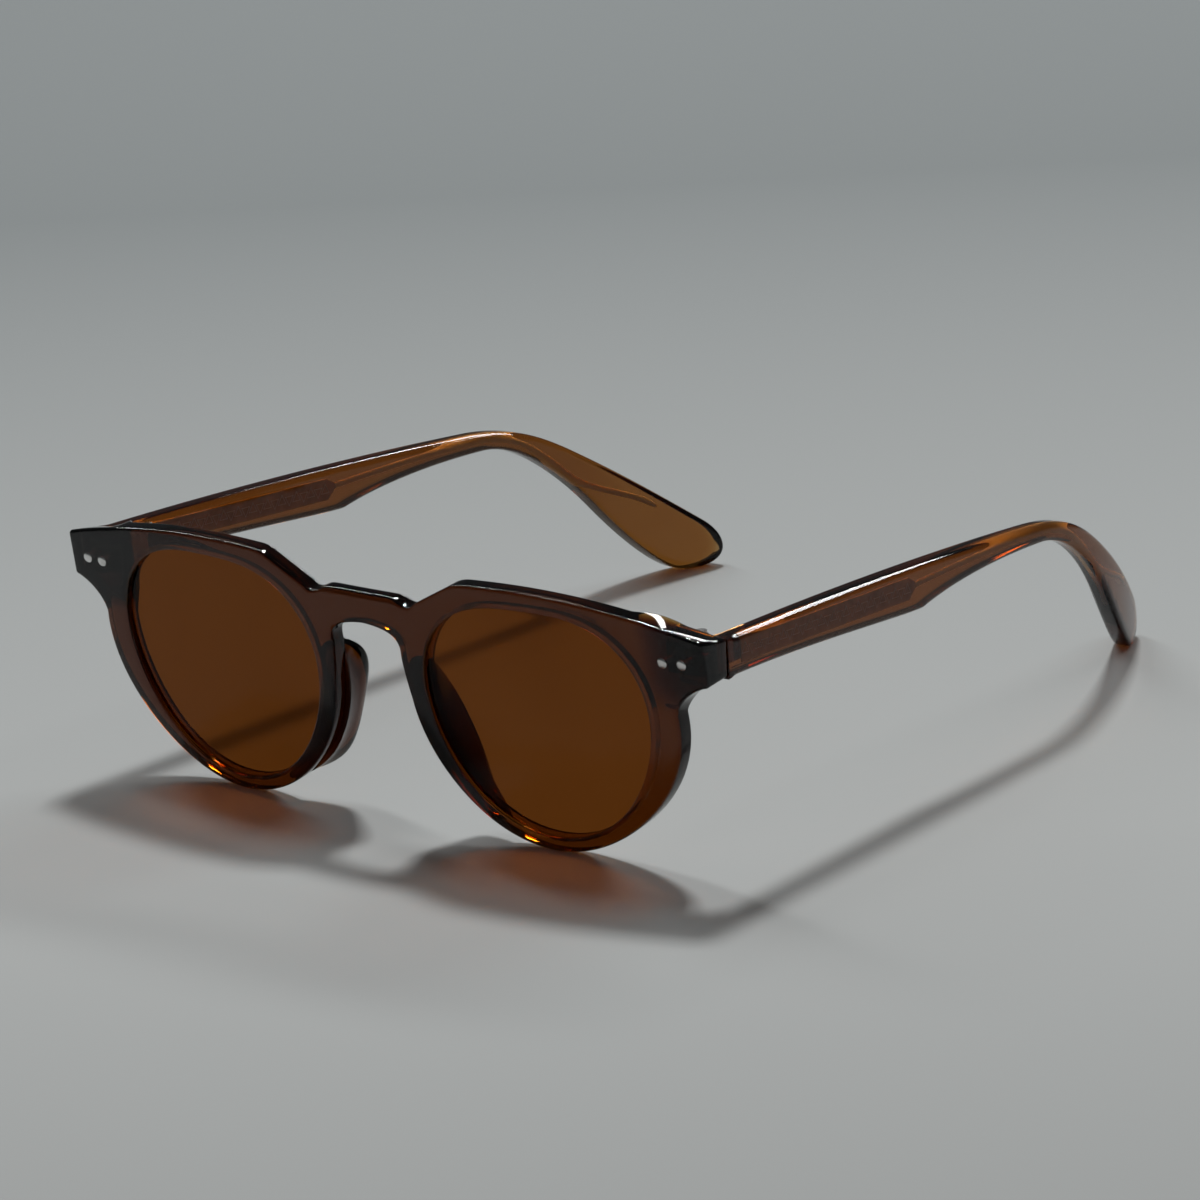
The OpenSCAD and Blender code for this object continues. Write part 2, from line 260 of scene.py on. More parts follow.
@dataclass(frozen=True)
class Acetate:
    """Polished translucent acetate, coloured all through."""

    name: str = "tea brown acetate"
    pale: tuple = (0.95, 0.84, 0.68)
    deep: tuple = (0.88, 0.72, 0.52)
    soaked: tuple = (0.69, 0.45, 0.02)
    density: float = 850.0
    gloss: float = 0.02
    index: float = 1.36
    passed: tuple = (0.22, 0.15, 0.09)
    cloud_edges: tuple = (0.3, 0.7)
    cloud_grain: float = 90.0
    cloud_stretch: tuple = (1, 0.6, 1)
    wear_grain: float = 700.0
    wear_share: float = 0.04
    wave_grain: float = 240.0
    details: tuple = (3, 4, 2)
    wave_share: float = 0.03
    wave_height: float = 0.0002
    slot: str = "acetate"

    def make(self) -> bpy.types.Material:
        """Returns the finished material."""
        recipe = Recipe(self.name)
        cloud = recipe.noise(self.cloud_grain, self.details[0], self.cloud_stretch)
        wear = recipe.noise(self.wear_grain, self.details[1])
        wave = recipe.noise(self.wave_grain, self.details[2])
        stops = zip(self.cloud_edges, (self.deep, self.pale))
        surface = recipe.add(
            "ShaderNodeBsdfPrincipled",
            {
                "Base Color": recipe.tone(cloud, list(stops)),
                "Roughness": wear * self.wear_share + self.gloss,
                "Normal": recipe.bump(wave, self.wave_share, self.wave_height),
                "IOR": self.index,
                "Transmission Weight": 1.0,
            },
        )
        soak = None
        if self.density:
            values = {"Color": (*self.soaked, 1), "Density": self.density}
            soak = recipe.add("ShaderNodeVolumeAbsorption", values)
        recipe.close(recipe.let_light_through(surface, self.passed), soak)
        return recipe.material


@dataclass(frozen=True)
class LensTint(Acetate):
    """Even brown sun lens: the acetate's recipe, with no colour inside."""

    name: str = "brown lens"
    pale: tuple = (0.205, 0.062, 0.010)
    deep: tuple = (0.185, 0.054, 0.008)
    density: float = 0.0
    gloss: float = 0.005
    index: float = 1.14
    passed: tuple = (0.17, 0.06, 0.012)
    cloud_grain: float = 30.0
    cloud_stretch: tuple = (1, 1, 1)
    wear_grain: float = 500.0
    wear_share: float = 0.015
    wave_grain: float = 60.0
    details: tuple = (1, 3, 1)
    wave_share: float = 0.02
    wave_height: float = 0.0001
    slot: str = "lens"


@dataclass(frozen=True)
class Metal:
    """Turned or rolled metal with fine tool marks."""

    name: str
    bright: tuple
    dull: tuple
    slot: str
    gloss: float = 0.22
    metal: float = 1.0
    mark_grain: float = 1500.0
    mark_lines: tuple = (1, 1, 14)
    mark_share: float = 0.12
    mark_height: float = 0.00004
    mark_dulling: float = 0.14
    smear_grain: float = 400.0
    smear_edges: tuple = (0.3, 0.65)

    def make(self) -> bpy.types.Material:
        """Returns the finished material."""
        recipe = Recipe(self.name)
        marks = recipe.noise(self.mark_grain, 3, self.mark_lines)
        smear = recipe.noise(self.smear_grain)
        stops = zip(self.smear_edges, (self.dull, self.bright))
        surface = recipe.add(
            "ShaderNodeBsdfPrincipled",
            {
                "Base Color": recipe.tone(smear, list(stops)),
                "Metallic": self.metal,
                "Roughness": marks * self.mark_dulling + self.gloss,
                "Normal": recipe.bump(marks, self.mark_share, self.mark_height),
            },
        )
        recipe.close(surface)
        return recipe.material


@dataclass(frozen=True)
class TableTop:
    """Pale table whose colour darkens towards its far side: painted shade for the light falling
    off towards the back.
    """

    name: str = "pale table"
    near: tuple = (0.36, 0.37, 0.366)
    # far is the table's colour darkened by painted shade at its far side.
    far: tuple = (0.155, 0.167, 0.168)
    near_at: float = 0.4
    far_at: float = 1.0
    slant: float = 0.8
    gloss: float = 0.9
    shine: float = 0.0

    def make(self) -> bpy.types.Material:
        """Returns the finished material."""
        recipe = Recipe(self.name)
        place = recipe.add("ShaderNodeTexCoord")
        apart = recipe.add("ShaderNodeSeparateXYZ", {0: place.outputs["Object"]})
        across = Sock(recipe, apart.outputs["X"])
        # The painted shade deepens away from the camera, along y less a share of x.
        away = Sock(recipe, apart.outputs["Y"]) - across * self.slant
        stops = [(self.near_at, self.near), (self.far_at, self.far)]
        surface = recipe.add(
            "ShaderNodeBsdfPrincipled",
            {
                "Base Color": recipe.tone(away + 0.5, stops),
                "Roughness": self.gloss,
                "Specular IOR Level": self.shine,
            },
        )
        recipe.close(surface)
        return recipe.material


# ---------------------------------------------------------------------- outlines


class Side(Enum):
    """The wearer's left or right, as the sign of x."""

    LEFT = 1
    RIGHT = -1

    @property
    def word(self) -> str:
        """Returns the side's name as it ends a node's name."""
        return self.name.lower()


def bezier(a: Sequence, b: Sequence, c: Sequence, d: Sequence, count: int) -> list[tuple]:
    """Samples a cubic curve, without its first point.

    Args:
        a: Start.
        b: First handle.
        c: Second handle.
        d: End.
        count: How many points.

    Returns:
        The points.
    """
    points = []
    for i in range(1, count + 1):
        t = i / count
        s = 1 - t
        weights = (s * s * s, 3 * s * s * t, 3 * s * t * t, t * t * t)
        points.append(
            tuple(sum(w * p[k] for w, p in zip(weights, (a, b, c, d))) for k in (0, 1))
        )
    return points


def off(p: Sequence, across: float, along: float) -> tuple[float, float]:
    """Returns a point of an outline moved by two distances."""
    return (p[0] + across, p[1] + along)


def signed_power(value: float, power: float) -> float:
    """Returns a value's size raised to a power, with the value's sign."""
    return math.copysign(abs(value) ** power, value)


def step_up(value: Array, low: float, high: float) -> Array:
    """Returns a smooth step from 0 at low to 1 at high."""
    t = np.clip((value - low) / (high - low), 0, 1)
    return t * t * (3 - 2 * t)


def refine(points: Iterable[Sequence], reach: float) -> Array:
    """Splits the long sides of a closed outline.

    Args:
        points: The outline's corners.
        reach: The longest side allowed.

    Returns:
        The outline's points.
    """
    loop = np.array(list(points), float)
    result = []
    for start, end in zip(loop, np.roll(loop, -1, axis=0)):
        parts = max(1, math.ceil(np.linalg.norm(end - start) / reach))
        result.extend(start + (end - start) * k / parts for k in range(parts))
    return np.array(result)


def signed_area(loop: Array) -> float:
    """Returns a loop's area, positive when it runs anticlockwise."""
    nxt = np.roll(loop, -1, axis=0)
    return float(np.sum(loop[:, 0] * nxt[:, 1] - nxt[:, 0] * loop[:, 1]) / 2)


def anticlockwise(loop: Array) -> Array:
    """Returns a loop so that it runs anticlockwise."""
    return loop if signed_area(loop) > 0 else loop[::-1]


def inward(loop: Array) -> Array:
    """Finds mitred normals on the left of a loop's direction of travel.

    Args:
        loop: The closed outline.

    Returns:
        One normal for each point, longer at a corner.
    """
    before = loop - np.roll(loop, 1, axis=0)
    after = np.roll(loop, -1, axis=0) - loop
    before /= np.linalg.norm(before, axis=1, keepdims=True)
    after /= np.linalg.norm(after, axis=1, keepdims=True)
    left_a = np.column_stack([-before[:, 1], before[:, 0]])
    left_b = np.column_stack([-after[:, 1], after[:, 0]])
    middle = left_a + left_b
    middle /= np.linalg.norm(middle, axis=1, keepdims=True)
    mitre = np.clip(np.sum(middle * left_a, axis=1), LEAST_MITRE, 1)
    return middle / mitre[:, None]


def contains(loop: Array, points: Array) -> Array:
    """Tells which points lie inside a loop.

    Args:
        loop: The closed outline.
        points: The points to test.

    Returns:
        One flag for each point.
    """
    inside = np.zeros(len(points), bool)
    ends = np.roll(loop, -1, axis=0)
    for (x0, y0), (x1, y1) in zip(loop, ends):
        if y0 == y1:
            continue
        crosses = (y0 > points[:, 1]) != (y1 > points[:, 1])
        reach = (x1 - x0) * (points[:, 1] - y0) / (y1 - y0) + x0
        inside ^= crosses & (points[:, 0] < reach)
    return inside


# --------------------------------------------------------------- plate and tube


@dataclass
class Wall:
    """One loop of a plate's outline and the rings that its wall runs through.

    A ring is (inset, from the front, from the back): exactly one of the last two is None.
    """

    loop: Array
    radius: Array | float
    steps: int = 5
    groove: Optional[tuple[float, float, float]] = None

    def rings(self) -> list[tuple[Array, Optional[Array], Optional[Array]]]:
        """Returns the rings from the front face's edge to the back face's edge."""
        turns = [math.pi / 2 * k / self.steps for k in range(self.steps + 1)]
        still = np.zeros(len(self.loop))
        radius = still + self.radius
        rings = [(radius * (1 - math.sin(a)), radius * (1 - math.cos(a)), None) for a in turns]
        if self.groove:
            near, far, deep = self.groove
            rings.append((still, still + near, None))
            rings.append((still + deep, still + near, None))
            rings.append((still + deep, still + far, None))
            rings.append((still, still + far, None))
        rings.extend((inset, None, deep) for inset, deep, _ in reversed(rings[: len(turns)]))
        return rings


def even(thick: float) -> Depth:
    """Returns the rule of a plate that is equally thick everywhere."""

    def depth(flat: Array) -> Array:
        """Returns the thickness at each point."""
        return np.full(len(flat), thick)

    return depth


def face_sides(face: tuple) -> list[frozenset]:
    """Returns a face's sides as pairs of vertex numbers."""
    return [frozenset(pair) for pair in zip(face, face[1:] + face[:1])]


@dataclass
class Plate:
    """A solid between two faces with the same outline, rounded along its edges."""

    walls: list[Wall]
    place: Place
    depth: Depth
    grid: float = 1.1
    row_share: float = 0.87
    clear_share: float = 0.55
    batch: int = 200

    def mesh(self, name: str) -> bpy.types.Mesh:
        """Builds the closed mesh.

        Args:
            name: The mesh's name.

        Returns:
            The mesh, in metres.
        """
        spots: list[Array] = []
        faces: list[tuple] = []
        front, back = [], []
        count = 0
        for wall in self.walls:
            normal = inward(wall.loop)
            size = len(wall.loop)
            previous = None
            for inset, near, far in wall.rings():
                flat = wall.loop + normal * inset[:, None]
                deep = near if far is None else self.depth(flat) - far
                spots.append(self.place(flat, deep))
                ring = np.arange(count, count + size)
                count += size
                if previous is None:
                    front.append((flat, ring))
                else:
                    for k in range(size):
                        j = (k + 1) % size
                        faces.append((previous[k], previous[j], ring[j], ring[k]))
                previous = ring
                last = (flat, ring)
            back.append(last)
        for loops, at_back in ((front, False), (back, True)):
            inner, triangles = self._fill(loops, count)
            if len(inner):
                deep = self.depth(inner) if at_back else np.zeros(len(inner))
                spots.append(self.place(inner, deep))
                count += len(inner)
            faces.extend(triangles)
        return finish_mesh(name, np.concatenate(spots), faces)

    def _fill(self, loops: list[tuple[Array, Array]], first: int) -> tuple[Array, list]:
        """Fills a flat face with even triangles.

        Args:
            loops: The outline and the holes, each with its vertex numbers.
            first: The number of the first new vertex.

        Returns:
            The new inner points and the triangles.
        """
        flat = np.concatenate([loop for loop, _ in loops])
        seeds = self._seeds(loops, flat)
        edges, start = [], 0
        for loop, _ in loops:
            size = len(loop)
            edges.extend((start + k, start + (k + 1) % size) for k in range(size))
            start += size
        every = [Vector(p) for p in np.concatenate([flat, seeds])]
        places, _, triangles, origins, _, _ = delaunay_2d_cdt(every, edges, [], 1, WELD, True)
        owner = [o[0] if o else -1 for o in origins]
        numbers = [ring for _, ring in loops] + [np.arange(first, first + len(seeds))]
        numbered = np.concatenate(numbers).tolist()
        centres = np.array([sum((places[i] for i in t), Vector((0, 0))) / 3 for t in triangles])
        kept = [
            tuple(numbered[owner[i]] for i in t)
            for t, wanted in zip(triangles, self._inside(loops, centres))
            if wanted
        ]
        return seeds, self._peel(kept, {frozenset((numbered[a], numbered[b])) for a, b in edges})

    def _inside(self, loops: list[tuple[Array, Array]], points: Array) -> Array:
        """Tells which points lie in the outline and in none of its holes.

        Args:
            loops: The outline and the holes, each with its vertex numbers.
            points: The points to test.

        Returns:
            One flag for each point.
        """
        keep = contains(loops[0][0], points)
        for loop, _ in loops[1:]:
            keep &= ~contains(loop, points)
        return keep

    def _seeds(self, loops: list[tuple[Array, Array]], flat: Array) -> Array:
        """Lays even points over a face, clear of its edges.

        Args:
            loops: The outline and the holes, each with its vertex numbers.
            flat: All the loops' points.

        Returns:
            The points.
        """
        low, high = flat.min(0), flat.max(0)
        rows = np.arange(low[1], high[1], self.grid * self.row_share)
        seeds = np.array(
            [
                (x + (self.grid / 2 if k % 2 else 0), y)
                for k, y in enumerate(rows)
                for x in np.arange(low[0], high[0], self.grid)
            ]
        )
        seeds = seeds[self._inside(loops, seeds)]
        gaps = np.full(len(seeds), np.inf)
        for part in np.array_split(flat, max(1, len(flat) // self.batch)):
            away = np.linalg.norm(seeds[:, None] - part[None], axis=2).min(1)
            gaps = np.minimum(gaps, away)
        return seeds[gaps > self.grid * self.clear_share]

    def _peel(self, kept: list[tuple], rims: set[frozenset]) -> list[tuple]:
        """Drops slivers that lie outside a straight stretch of an edge.

        Args:
            kept: The face's triangles.
            rims: The sides of its outline and holes.

        Returns:
            The triangles whose free sides are all rims.
        """
        while True:
            met = Counter(side for t in kept for side in face_sides(t))
            loose = {side for side, times in met.items() if times == 1} - rims
            if not loose:
                return kept
            kept = [t for t in kept if not loose.intersection(face_sides(t))]


def stand(name: str, data: bpy.types.ID) -> bpy.types.Object:
    """Makes an object and links it into the scene.

    Args:
        name: The object's name.
        data: Its mesh, light or camera.

    Returns:
        The object.
    """
    thing = bpy.data.objects.new(name, data)
    bpy.context.scene.collection.objects.link(thing)
    return thing


def smooth(mesh: bpy.types.Mesh) -> None:
    """Shades a mesh smooth and keeps its sharp edges."""
    mesh.shade_smooth()
    mesh.set_sharp_from_angle(angle=SHARP)


def finish_mesh(name: str, spots: Array, faces: list) -> bpy.types.Mesh:
    """Makes a closed mesh with its faces outwards and smooth shading.

    Args:
        name: The mesh's name.
        spots: Its points, in metres.
        faces: Its faces, as vertex numbers.

    Returns:
        The mesh.
    """
    mesh = bpy.data.meshes.new(name)
    mesh.from_pydata([tuple(p) for p in spots], [], [tuple(map(int, f)) for f in faces])
    shape = bmesh.new()
    shape.from_mesh(mesh)
    bmesh.ops.remove_doubles(shape, verts=shape.verts, dist=WELD)
    bmesh.ops.recalc_face_normals(shape, faces=shape.faces)
    shape.to_mesh(mesh)
    shape.free()
    smooth(mesh)
    return mesh


def loft(rings: int, around: int) -> list[tuple]:
    """Numbers the faces of a closed loft.

    Args:
        rings: How many rings of points it has.
        around: Points in each ring.

    Returns:
        Its sides and its two ends, as vertex numbers.
    """
    faces = []
    for a in range(0, (rings - 1) * around, around):
        for k in range(around):
            n = (k + 1) % around
            faces.append((a + k, a + n, a + around + n, a + around + k))
    faces.append(tuple(range(around)))
    faces.append(tuple(range((rings - 1) * around, rings * around)))
    return faces


def tube(name: str, path: Array, width: Array, height: Array, sides: int = 14) -> bpy.types.Mesh:
    """Sweeps an oval along a path that runs back along +Y.

    Args:
        name: The mesh's name.
        path: The path's points, in metres.
        width: Half widths across x at each point, in metres.
        height: Half heights at each point, in metres.
        sides: Points round the oval.

    Returns:
        The closed mesh.
    """
    along = np.gradient(path, axis=0)
    along /= np.linalg.norm(along, axis=1, keepdims=True)
    across = np.cross(along, np.array([0, 0, 1.0]))
    across /= np.linalg.norm(across, axis=1, keepdims=True)
    up = np.cross(across, along)
    turns = np.arange(sides) * 2 * math.pi / sides
    rings = [
        path[k]
        + np.outer(np.cos(turns) * width[k], across[k])
        + np.outer(np.sin(turns) * height[k], up[k])
        for k in range(len(path))
    ]
    return finish_mesh(name, np.concatenate(rings), loft(len(path), sides))


# --------------------------------------------------------------- geometry nodes


class GrowTree(NodeTree):
    """A Geometry Nodes tree, and its use on a mesh."""

    def __init__(self, name: str, sizes: dict[str, float]) -> None:
        """Starts the tree.

        Args:
            name: The tree's name.
            sizes: Its named inputs and their values.
        """
        super().__init__(bpy.data.node_groups.new(name, "GeometryNodeTree"))
        face = self.tree.interface
        face.new_socket(name="Geometry", in_out="INPUT", socket_type="NodeSocketGeometry")
        face.new_socket(name="Geometry", in_out="OUTPUT", socket_type="NodeSocketGeometry")
        self.sizes = sizes
        self.keys = {}
        for label in sizes:
            item = face.new_socket(name=label, in_out="INPUT", socket_type="NodeSocketFloat")
            self.keys[label] = item.identifier
        self.source = self.tree.nodes.new("NodeGroupInput")

    def size(self, label: str) -> bpy.types.NodeSocket:
        """Returns a named input's socket."""
        return self.source.outputs[label]

    def vector(self, x: object = 0.0, y: object = 0.0, z: object = 0.0) -> bpy.types.Node:
        """Returns a node that makes a vector of three values."""
        return self.add("ShaderNodeCombineXYZ", {"X": x, "Y": y, "Z": z})

    def change(self, shape: bpy.types.Node, way: str, value: object) -> bpy.types.Node:
        """Moves, turns or scales a shape.

        Args:
            shape: The node that makes it.
            way: Translation, Rotation or Scale.
            value: The vector, or the node that makes it.

        Returns:
            The node of the changed shape.
        """
        return self.add("GeometryNodeTransform", {"Geometry": shape, way: value})

    def ring(self, corners: int, label: str) -> bpy.types.Node:
        """Returns a circle's node, its radius a named input."""
        values = {"Resolution": corners, "Radius": self.size(label)}
        return self.add("GeometryNodeCurvePrimitiveCircle", values, mode="RADIUS")

    def split(self, curve: bpy.types.Node, label: str) -> bpy.types.Node:
        """Returns a curve's node with as many points as a named input says."""
        values = {"Curve": curve, "Count": self.size(label)}
        return self.add("GeometryNodeResampleCurve", values, mode="COUNT")

    def grow(
        self, name: str, seed: bpy.types.Mesh, grown: bpy.types.Node, finish: object
    ) -> bpy.types.Mesh:
        """Ends the tree, runs it on a mesh and keeps the plain result.

        Args:
            name: The new mesh's name.
            seed: The mesh that the tree starts from.
            grown: The node of the grown geometry.
            finish: The material of what is grown.

        Returns:
            The grown mesh.
        """
        plain = self.add("GeometryNodeRealizeInstances", {0: grown})
        values = {"Geometry": plain, "Material": finish}
        self.add("NodeGroupOutput", {0: self.add("GeometryNodeSetMaterial", values)})
        holder = stand(name + " seed", seed)
        modifier = holder.modifiers.new("grow", "NODES")
        modifier.node_group = self.tree
        for label, value in self.sizes.items():
            modifier[self.keys[label]] = value
        graph = bpy.context.evaluated_depsgraph_get()
        mesh = bpy.data.meshes.new_from_object(holder.evaluated_get(graph))
        mesh.name = name
        holder.modifiers.clear()
        bpy.data.objects.remove(holder)
        return mesh


# ------------------------------------------------------------------------- bench


@dataclass
class Bench:
    """Where pieces are put together: the layout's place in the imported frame."""

    shift: float = 0.0
    lean: float = 7.4
    curve_r: float = 544.0
    made: list[str] = field(default_factory=list)

    def to_row(self, points: Array) -> Array:
        """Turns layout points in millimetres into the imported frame's metres."""
        return (points - np.array([0, self.shift, 0])) * MM

    def lean_back(self, x: Array, deep: Array, up: Array) -> Array:
        """Leans points of the upright front back.

        Args:
            x: Across.
            deep: Behind the middle of the face.
            up: Up the front.

        Returns:
            Points in metres.
        """
        turn = math.radians(self.lean)
        y = deep * math.cos(turn) - up * math.sin(turn)
        z = up * math.cos(turn) + deep * math.sin(turn)
        return self.to_row(np.column_stack([x, y, z]))

    def front_point(self, flat: Array, deep: Array, side: int = 1) -> Array:
        """Places points of the curved, leaning front.

        Args:
            flat: (across, up the front) of each point.
            deep: Depth behind the face.
            side: 1, or -1 to mirror.

        Returns:
            Points in metres.
        """
        w = self.curve_r - np.sqrt((self.curve_r - deep) ** 2 - flat[:, 0] ** 2)
        return self.lean_back(flat[:, 0] * side, w, flat[:, 1])

    def put(
        self,
        name: str,
        mesh: bpy.types.Mesh,
        finish: bpy.types.Material,
        slot: str,
        body: str,
        nodes: Sequence[str] = (),
    ) -> None:
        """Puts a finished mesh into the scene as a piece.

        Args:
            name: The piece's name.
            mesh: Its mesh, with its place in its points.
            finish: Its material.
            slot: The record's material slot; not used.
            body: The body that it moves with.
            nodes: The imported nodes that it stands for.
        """
        mesh.materials.clear()
        mesh.materials.append(finish)
        piece = stand(name, mesh)
        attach(piece, body)
        if nodes:
            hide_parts(*nodes)
        self.made.append(name)
        LOG.info("%s: %d faces, on %s", name, len(mesh.polygons), body)

    def dress(self, node: str, finish: bpy.types.Material) -> None:
        """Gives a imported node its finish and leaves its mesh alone.

        Args:
            node: The node's name.
            finish: Its material.
        """
        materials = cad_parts[node].data.materials
        materials.clear()
        materials.append(finish)
        LOG.info("%s: packed mesh, %s", node, finish.name)


# ------------------------------------------------------------------------- front


@dataclass
class FrontSizes:
    """The front's own sizes, measured flat."""

    eye_w: float = 46.4
    eye_h: float = 42.2
    panto: float = 1.0
    pull: float = 0.27
    bridge_w: float = 25.2
    rim_t: float = 3.4
    rim_bottom: float = 2.6
    rim_nose: float = 3.9
    rim_throat: float = 4.9
    rim_outer: float = 6.0
    brow: float = 3.4
    end_reach: float = 7.0
    end_h: float = 8.6
    end_drop: float = 1.8
    bridge_drop: float = 1.3
    bridge_h: float = 5.8
    notch_d: float = 1.3
    notch_out: float = 3.2
    corner_r: float = 0.9
    butt_y: float = 6.0
    groove_d: float = 0.8
    lens_t: float = 1.8

    @property
    def eye_u(self) -> float:
        """Returns the distance of an opening's centre from the middle."""
        return self.bridge_w / 2 + self.eye_w / 2

    @property
    def eye_v(self) -> float:
        """Returns the height of an opening's centre."""
        return self.rim_bottom + self.eye_h / 2 + self.panto

    @property
    def end_u(self) -> float:
        """Returns the distance of an end piece's side from the middle."""
        return self.eye_u + self.eye_w / 2 + self.rim_outer + self.end_reach

    @property
    def end_top(self) -> float:
        """Returns the height of an end piece's outer top corner."""
        return self.rim_bottom + self.eye_h - self.end_drop

    @property
    def end_bottom(self) -> float:
        """Returns the height of an end piece's underside."""
        return self.end_top - self.end_h

    def eye_r(self, a: float) -> float:
        """Gives the opening's radius in one direction.

        Args:
            a: The direction, in degrees anticlockwise from the end piece.

        Returns:
            The radius.
        """
        t = math.radians(a)
        mid = (self.eye_w + self.eye_h) / 4 + self.pull
        diff = (self.eye_w - self.eye_h) / 4
        oval = mid + diff * math.cos(2 * t)
        return oval + self.panto * math.sin(3 * t) - self.pull * math.cos(4 * t)

    def rim_w(self, a: float) -> float:
        """Gives the rim's width in one direction.

        Args:
            a: The direction, in degrees anticlockwise from the end piece.

        Returns:
            The width.
        """
        c = math.cos(math.radians(a))
        wide = self.rim_outer if c > 0 else self.rim_nose
        return self.rim_bottom + (wide - self.rim_bottom) * c**4

    def eye_point(self, a: float, grow: float) -> tuple[float, float]:
        """Finds a point beside the opening's edge.

        Args:
            a: The direction, in degrees anticlockwise from the end piece.
            grow: How far outside the edge it lies.

        Returns:
            The point, as (across, up the front).
        """
        r = self.eye_r(a) + grow
        t = math.radians(a)
        return (self.eye_u + r * math.cos(t), self.eye_v + r * math.sin(t))

    def eye_loop(self, grow: float, step: float = 2.0) -> Array:
        """Returns the left opening's outline, grown, clockwise."""
        return np.array([self.eye_point(a, grow) for a in np.arange(360, 0, -step)])

    def outline(self) -> Array:
        """Returns the whole front's outline, anticlockwise."""
        eye_top = self.rim_bottom + self.eye_h
        brow_v = eye_top + self.brow
        top_v = eye_top - self.bridge_drop
        low_v = top_v - self.bridge_h
        throat_u = self.bridge_w / 2 - self.rim_throat
        notch = (throat_u + self.notch_out, top_v - self.notch_d)
        brow_u = notch[0] + 10.8
        top = (throat_u - 1.2, top_v)
        slope_a = (notch[0] + 1.8, notch[1] + 1)
        slope_b = (brow_u - 1.2, brow_v - 0.9)
        brow_a = (brow_u + 2.6, brow_v - 0.05)
        r = self.corner_r
        end_a = (self.end_u - r, self.end_top)
        end_b = (self.end_u, self.end_top - r)
        end_c = (self.end_u, self.end_bottom + r)
        end_d = (self.end_u - r, self.end_bottom)
        rim = [self.eye_point(a, self.rim_w(a)) for a in np.arange(8, -181, -2)]
        throat = (throat_u, low_v - 4.2)

        half = [top]
        half += bezier(top, off(top, 1.8, 0), off(notch, -1.4, 0), notch, 10)
        half += bezier(notch, off(notch, 0.8, 0), off(slope_a, -0.6, -0.4), slope_a, 6)
        half += [slope_b]
        half += bezier(slope_b, off(slope_b, 1, 0.5), off(brow_a, -1.6, 0), brow_a, 8)
        end_hand = (self.end_u - 16, self.end_top + 4)
        half += bezier(brow_a, (self.eye_u + 6, brow_v + 0.7), end_hand, end_a, 48)
        half += bezier(end_a, off(end_a, 0.6, -0.1), off(end_b, 0, 0.5), end_b, 6)
        half += bezier(end_c, off(end_c, 0, -0.5), off(end_d, 0.5, 0), end_d, 6)
        half += bezier(end_d, off(end_d, -1.8, -0.5), off(rim[0], 0.7, 3.2), rim[0], 14)
        half += rim[1:]
        half += bezier(rim[-1], off(rim[-1], -0.4, 2.2), off(throat, -0.2, -2.2), throat, 10)
        low_hand = (throat_u * 0.6, low_v - 0.3)
        half += bezier(throat, off(throat, 0.1, 3), low_hand, (0, low_v), 16)
        mirrored = [(-u, v) for u, v in reversed(half[:-1])]
        return anticlockwise(refine(half + mirrored, 0.8))


